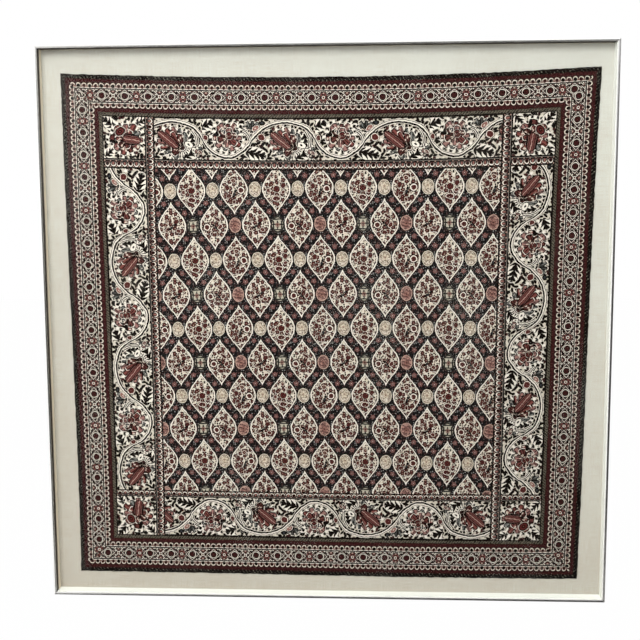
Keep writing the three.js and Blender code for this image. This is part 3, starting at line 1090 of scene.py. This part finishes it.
def vineMaterial():
    material, tree, place = startPrint("printedVine")
    period, seam = vine["period"], vine["seam"]
    local = repeated(place, (seam, -100), (seam + period, 200))
    along, depth = parts(local)
    rough = strayed(local, 0.28, 1)
    colour = paintGreens(local, rough, vine)
    aside = paintStem(along, depth)
    tendril = None
    for centre, radius, (s, t), (halfS, halfT) in vine["tendrils"]:
        arc = abs(vectors("DISTANCE", local, (*centre, 0)) - radius)
        shown = inside(abs(depth - t), halfT, 1.5) * inside(abs(along - s), halfS, 1.5)
        arc = arc + (1 - shown) * 20
        tendril = arc if tendril is None else least(tendril, arc)
    for reach, dye in ((3.2, ivory), (2.4, black), (0.7, ivory)):
        colour = painted(colour, tendril, reach, dye, 0.4)
    for bloom in vine["blooms"]:
        colour = paintBloom(colour, rough, bloom)
    # the stem is dark with a pale edge, and a pale line nearer one side of it
    away = abs(aside)
    for distance, reach, dye in ((away, 4.2, ivory), (away, 3.3, black), (abs(aside + 1.0), 1.1, ivory)):
        colour = painted(colour, distance, reach, dye, 0.4)
    colour = stampAll(colour, rough, vine["motifs"])
    colour = paintStripedPetal(colour, rough, vine["stripedPetal"])
    colour = painted(colour, abs(depth - 0.4), 1.0, black, 0.4)
    rawAlong, _ = parts(place)
    finishPrint(tree, colour, joined(maths("FLOOR", scaled(rawAlong, 1 / period, -seam / period)), 0.0))
    return material


# the square panels at the corners: x right and y up from the middle, with the cloth's corner upper left
corner = {
    "bloom": {"centre": (2.5, -4.5), "streaks": 20, "comb": 6.8, "rings": (
        (0.8, ((122, 31, "red"), (88, 30, "pink"), (58, 35, "red"), (30, 32, "grey"), (2, 33, "pink"),
               (-30, 30, "red"), (-64, 25, "deep"), (-98, 28, "red"), (-138, 27, "pink"), (176, 30, "deep"))),
        (0.74, ((112, 17, "deep"), (62, 20, "red"), (-20, 18, "deep"), (-75, 15, "red"), (-130, 17, "deep"),
                (165, 18, "red")))),
        "over": ()},
    "motifs": (("redDisc", -7, 11, 35, 11, 8.5),), "blackSpot": (31.5, -31, 3.6), "leafPitch": 7.3,
    "stripedPetal": (14, -3.5, -8, 17, 9.0),
    "sprigs": ((-25, 24, 140, 17, 9, 8.0), (30, 29, 20, 11, 8, 7.5), (-27, -28, 40, 12, 8, 7.5)),
    "leafHalf": (6.0, 4.4),
    "leaves": {
        5: ((-33, 3), (36, -3), (-14, -33), (12, -34), (35, 12)),
        50: ((-33, -8), (34, 4), (31, -23), (-12, 33), (-3, -33), (22, 34), (25, -30)),
        -45: ((-33, -16), (36, -12), (19, -32), (-22, -20), (20, 30), (-6, 24)),
        95: ((-16, 35), (33, -18), (-26, 5), (36, 22), (4, -35)),
    },
}


def cornerMaterial():
    material, tree, place = startPrint("printedCorner")
    local = repeated(place, (-500, -200), (500, 200))
    rough = strayed(local, 0.28, 1)
    colour = paintBloom(paintGreens(local, rough, corner), rough, corner["bloom"])
    colour = stampAll(colour, local, corner["motifs"])
    colour = paintStripedPetal(colour, rough, corner["stripedPetal"])
    x, y, radius = corner["blackSpot"]
    colour = painted(colour, vectors("DISTANCE", local, (x, y, 0)), radius, black)
    rawAlong, _ = parts(place)
    finishPrint(tree, colour, joined(maths("FLOOR", scaled(rawAlong, 0.001, 0.5)), 3.0))
    return material


# the painted cloth as a sheet: flat size in mm, then pulled a little out of true and laid on the linen
sheet = {
    "halfWidth": 480.0, "halfHeight": 470.0, "across": 150, "down": 147,
    "borderWidth": 75.0, "panelWidth": 150.0,
    "fieldStart": {"left": 168.0, "right": 169.0, "top": 168.5, "bottom": 163.5}, "guardWidth": 17.5,
    # where each side's print starts and the length of its repeat, then the drawn length of a repeat
    "vineStarts": {"top": (25.7, 204), "left": (26.7, 200), "right": (39.7, 199), "bottom": (22.3, 199)},
    "vinePeriod": 200.0,
    "rosetteStarts": {"top": (-406, 41.6), "left": (-16, 40.2), "right": (1, 40.8), "bottom": (5, 41.0)},
    "rosettePeriod": 41.0,
    # how far apart the four sides lie in the coordinates of each print
    "sidesApart": {"vine": 2000, "rosettes": 1640, "guard": 1050, "corner": 1000},
    "linenFront": 10.8, "lift": 0.3, "edgeLift": 0.7, "thickness": 0.9, "fray": 1.3, "seed": 11,
    # the bake map: the front fills most of it, and the back and the raw edge lie in a strip at its right
    "bake": {"margin": 0.003, "wide": 0.975, "high": 0.994, "backStart": 0.986, "backWide": 0.011},
    # shifts in mm by powers of u and v, which run from -1 to 1 over the cloth: (mm, power of u, power of v)
    "pullAcross": ((3.1, 0, 0), (-1.0, 1, 0), (0.8, 0, 1), (7.0, 1, 1), (1.3, 1, 2), (2.9, 0, 3)),
    "pullUp": ((-11.2, 0, 0), (-1.7, 1, 0), (-3.9, 0, 1), (1.3, 1, 1), (6.9, 2, 0), (1.6, 3, 0), (5.3, 2, 1)),
    "driftAcross": ((7.4, 0, 0), (0.4, 1, 0), (8.2, 0, 1), (-7.9, 1, 1), (-2.2, 2, 0), (3.3, 0, 2)),
    "driftUp": ((-10.1, 0, 0), (-3.2, 1, 0), (-1.5, 0, 1), (-5.4, 1, 1), (12.2, 2, 0), (-7.6, 0, 2)),
    # soft waves: turns across and down, start, height in mm
    "waves": ((1.1, 0.3, 0.4, 0.30), (0.4, 1.4, 2.1, 0.25), (2.3, -0.6, 4.0, 0.18)),
}
sides = ("top", "left", "right", "bottom")


def shifted(u, v, table):
    return sum(amount * u ** powerU * v ** powerV for amount, powerU, powerV in table)


def pulled(u, v):
    # where a point of the flat cloth lies after hanging
    return (sheet["halfWidth"] * u + shifted(u, v, sheet["pullAcross"]),
            sheet["halfHeight"] * v + shifted(u, v, sheet["pullUp"]))


def lifted(u, v):
    # how far the cloth stands off the linen
    rise = sum(height * (1 + math.sin(math.pi * (across * u + down * v) + start))
               for across, down, start, height in sheet["waves"])
    return sheet["lift"] + rise + sheet["edgeLift"] * max(abs(u), abs(v)) ** 8


def fieldPlace(x, y):
    # the printed lattice drifts across the cloth, as one hand-set block follows another
    u, v = x / sheet["halfWidth"], y / sheet["halfHeight"]
    return x + shifted(u, v, sheet["driftAcross"]), y + shifted(u, v, sheet["driftUp"])


def sideReach(x, y):
    # distance in from each side
    return {"left": sheet["halfWidth"] + x, "right": sheet["halfWidth"] - x,
            "top": sheet["halfHeight"] - y, "bottom": sheet["halfHeight"] + y}


def alongSide(side, x, y):
    # distance along a side when its outer edge is turned up
    return {"top": x, "left": y, "right": -y, "bottom": -x}[side]


def regionOf(x, y):
    # which printed region a face belongs to, by its middle
    reach = sideReach(x, y)
    side = min(reach, key=reach.get)
    panel, fieldStart = sheet["panelWidth"], sheet["fieldStart"]
    if reach[side] < sheet["borderWidth"]:
        return "rosettes", side
    across = "left" if reach["left"] < reach["right"] else "right"
    down = "top" if reach["top"] < reach["bottom"] else "bottom"
    if panel < reach[across] < fieldStart[across]:
        return "guard", across
    if panel < reach[down] < fieldStart[down]:
        return "guard", down
    if reach[across] < panel and reach[down] < panel:
        return "corner", down + across
    if reach[down] < panel:
        return "vine", down
    if reach[across] < panel:
        return "vine", across
    return "field", "field"


def blockPlace(region, side, x, y):
    # the place of a point inside its own printing block, in mm
    if region == "field":
        return fieldPlace(x, y)
    border, panel, apart = sheet["borderWidth"], sheet["panelWidth"], sheet["sidesApart"][region]
    if region == "corner":
        inward = (border + panel) / 2
        a = x - math.copysign(sheet["halfWidth"] - inward, x)
        b = y - math.copysign(sheet["halfHeight"] - inward, y)
        turns = {"topleft": (a, b), "topright": (-b, a), "bottomright": (-a, -b), "bottomleft": (b, -a)}
        return turns[side][0] + apart * list(turns).index(side), turns[side][1]
    along, depth, offset = alongSide(side, x, y), sideReach(x, y)[side], apart * sides.index(side)
    if region == "vine":
        start, pitch = sheet["vineStarts"][side]
        return (along - start) * sheet["vinePeriod"] / pitch + offset, depth - border
    if region == "rosettes":
        start, pitch = sheet["rosetteStarts"][side]
        return (along - start) * sheet["rosettePeriod"] / pitch + offset, depth
    return along + offset, (depth - panel) * sheet["guardWidth"] / (sheet["fieldStart"][side] - panel)


def cutAt(bm, geometry, point, direction):
    bmesh.ops.bisect_plane(bm, geom=geometry, dist=0.01, plane_co=(*point, 0), plane_no=(*direction, 0))


def cutRegions(bm):
    # edges along every change of print, and mitred corners in the outer border
    halfWidth, halfHeight, border = sheet["halfWidth"], sheet["halfHeight"], sheet["borderWidth"]
    starts = sheet["fieldStart"]
    cuts = [(sign, width, width) for width in (border, sheet["panelWidth"]) for sign in (-1, 1)]
    cuts += [(-1, starts["left"], starts["bottom"]), (1, starts["right"], starts["top"])]
    for sign, inX, inY in cuts:
        cutAt(bm, bm.verts[:] + bm.edges[:] + bm.faces[:], (sign * (halfWidth - inX), 0), (1, 0))
        cutAt(bm, bm.verts[:] + bm.edges[:] + bm.faces[:], (0, sign * (halfHeight - inY)), (0, 1))
    edgeX, edgeY = halfWidth - border, halfHeight - border
    for signX in (-1, 1):
        for signY in (-1, 1):
            faces = [f for f in bm.faces if f.calc_center_median().x * signX > edgeX
                     and f.calc_center_median().y * signY > edgeY]
            edges = {e for f in faces for e in f.edges}
            verts = {v for f in faces for v in f.verts}
            cutAt(bm, list(verts) + list(edges) + faces, (signX * edgeX, signY * edgeY), (signX, -signY))


def makeCloth(materials):
    halfWidth, halfHeight = sheet["halfWidth"], sheet["halfHeight"]
    bm = bmesh.new()
    bmesh.ops.create_grid(bm, x_segments=sheet["across"], y_segments=sheet["down"], size=1)
    bmesh.ops.scale(bm, vec=(halfWidth, halfHeight, 1), verts=bm.verts)
    cutRegions(bm)
    blocks, bake = bm.loops.layers.uv.new("blockPlace"), bm.loops.layers.uv.new("OFBake")
    slots = {region: index for index, region in enumerate(materials)}
    bakeMap = sheet["bake"]
    for face in bm.faces:
        middle = face.calc_center_median()
        region, side = regionOf(middle.x, middle.y)
        face.material_index = slots[region]
        face.smooth = True
        for loop in face.loops:
            x, y = loop.vert.co.x, loop.vert.co.y
            loop[blocks].uv = blockPlace(region, side, x, y)
            loop[bake].uv = (bakeMap["margin"] + bakeMap["wide"] * (x / halfWidth + 1) / 2,
                             bakeMap["margin"] + bakeMap["high"] * (y / halfHeight + 1) / 2)
    # the front is done: lay it in place, with a slightly uneven raw edge
    dice = random.Random(sheet["seed"])
    edgeVerts = {v for v in bm.verts if v.is_boundary}
    for vert in bm.verts:
        u, v = vert.co.x / halfWidth, vert.co.y / halfHeight
        if vert in edgeVerts:
            inward = dice.uniform(0.0, sheet["fray"])
            u, v = u * (1 - inward / halfWidth), v * (1 - inward / halfHeight)
        wideX, highZ = pulled(u, v)
        vert.co = (wideX / 1000, -(sheet["linenFront"] + lifted(u, v) + sheet["thickness"]) / 1000,
                   highZ / 1000)
    bmesh.ops.recalc_face_normals(bm, faces=bm.faces)
    if sum(f.normal.y for f in bm.faces) > 0:
        bmesh.ops.reverse_faces(bm, faces=bm.faces)
    front = set(bm.faces)
    bmesh.ops.solidify(bm, geom=bm.faces[:], thickness=sheet["thickness"] / 1000)
    for face in bm.faces:
        if face in front:
            continue
        face.material_index = slots["back"]
        for loop in face.loops:
            u, v = loop[bake].uv
            loop[bake].uv = (bakeMap["backStart"] + bakeMap["backWide"] * u, v)
    mesh = bpy.data.meshes.new("silkPanel")
    bm.to_mesh(mesh)
    bm.free()
    for material in materials.values():
        mesh.materials.append(material)
    cloth = bpy.data.objects.new("silkPanel", mesh)
    bpy.context.scene.collection.objects.link(cloth)
    print("cloth made:", len(mesh.polygons), "faces")
    return cloth


def backMaterial():
    # the unprinted side and the raw edge, with the dye soaked through a little
    material, tree = newMaterial("clothBack")
    _, across, up, flat = flatPlace(tree)
    colour, _ = ramp(cloud(flat, 0.12, 4), ((ink(172, 160, 142), 0.35), (ink(120, 104, 94), 0.55),
                                            (ink(78, 62, 56), 0.7)))
    weave = plainWeave(across, up, silk["threadPitch"])
    warp = slub(flat, (1.3, 0.05), 2)
    colour = dimmed(colour, scaled(warp, 0.5, 0.75) + weave * 0.05)
    principled(tree, colour, 0.85, bumped(weave + warp, 0.35, 0.00015), **{"Sheen Weight": 0.2})
    return material


cloth = makeCloth({"field": fieldMaterial(), "rosettes": rosetteMaterial(), "guard": guardMaterial(),
                   "vine": vineMaterial(), "corner": cornerMaterial(), "back": backMaterial()})
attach(cloth, "root")
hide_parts("silk_panel")
